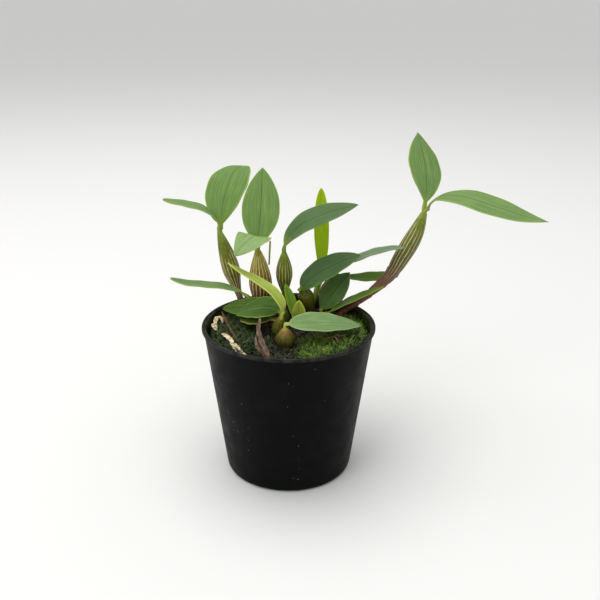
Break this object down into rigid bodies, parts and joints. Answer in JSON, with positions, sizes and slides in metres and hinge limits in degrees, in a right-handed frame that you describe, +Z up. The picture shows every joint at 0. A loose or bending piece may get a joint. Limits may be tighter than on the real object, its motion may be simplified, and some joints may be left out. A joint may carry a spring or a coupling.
{
  "type": "potted dendrobium orchid",
  "caption": "Small dendrobium orchid with leafy pseudobulbs and a leaning cane, growing in moss and bark in a tapered round nursery pot.",
  "frame": {"origin": "centre of the pot's flat underside, on the pot's axis", "axes": "+Z up along the pot's axis, -Y towards the front that the picture shows, +X to the right in that view"},
  "size_m": [0.1308, 0.0808, 0.1118],
  "materials": {
    "pot": "satin",
    "growing_medium": "coarse bark and coir, matte",
    "moss": "fine tufted moss, matte",
    "leaf": "leathery, low sheen",
    "leaf_dark": "leathery, low sheen",
    "leaf_new": "leathery, low sheen",
    "pseudobulb": "ribbed skin with papery sheath, low sheen",
    "cane": "ribbed skin with papery sheath, low sheen",
    "shoot": "smooth, low sheen",
    "dry_sheath": "dry, matte",
    "dry_shreds": "dry, matte",
    "dry_stick": "dry, matte"
  },
  "bodies": {
    "root": {"pot": "pot", "growing_medium": "growing_medium", "moss_cushion_right": "moss", "moss_cushion_left": "moss", "leaf_far_left_broad": "leaf", "leaf_far_left_arching": "leaf", "leaf_left_upright": "leaf", "leaf_left_folded": "leaf", "leaf_middle_arching": "leaf", "leaf_striped_bulb_upper": "leaf", "leaf_cane_upright": "leaf", "leaf_cane_long": "leaf", "leaf_round_bulb": "leaf", "leaf_old_stub": "leaf", "leaf_stout_bulb": "leaf_dark", "leaf_short_shoot_broad": "leaf_dark", "leaf_short_shoot_narrow": "leaf_dark", "leaf_striped_bulb_lower": "leaf_dark", "leaf_small_bulb_wide": "leaf_dark", "leaf_small_bulb_low": "leaf_dark", "leaf_new_shoot_flat": "leaf_dark", "leaf_strap": "leaf_new", "leaf_small_bulb_tall": "leaf_new", "spear_tall": "leaf_new", "spear_short": "leaf_new", "pseudobulb_far_left": "pseudobulb", "pseudobulb_left": "pseudobulb", "pseudobulb_middle": "pseudobulb", "pseudobulb_stout": "pseudobulb", "pseudobulb_striped": "pseudobulb", "pseudobulb_round": "pseudobulb", "pseudobulb_small": "pseudobulb", "stub_old": "pseudobulb", "stem_strap_leaf": "shoot", "shoot_short": "shoot", "shoot_new": "shoot", "old_flower_stalk": "shoot", "cane_right": "cane", "dry_stick": "dry_stick", "twig_on_moss": "dry_stick", "dry_shreds_upper": "dry_shreds", "dry_shreds_lower": "dry_shreds", "dry_sheath_tall": "dry_sheath"}
  },
  "joints": []
}
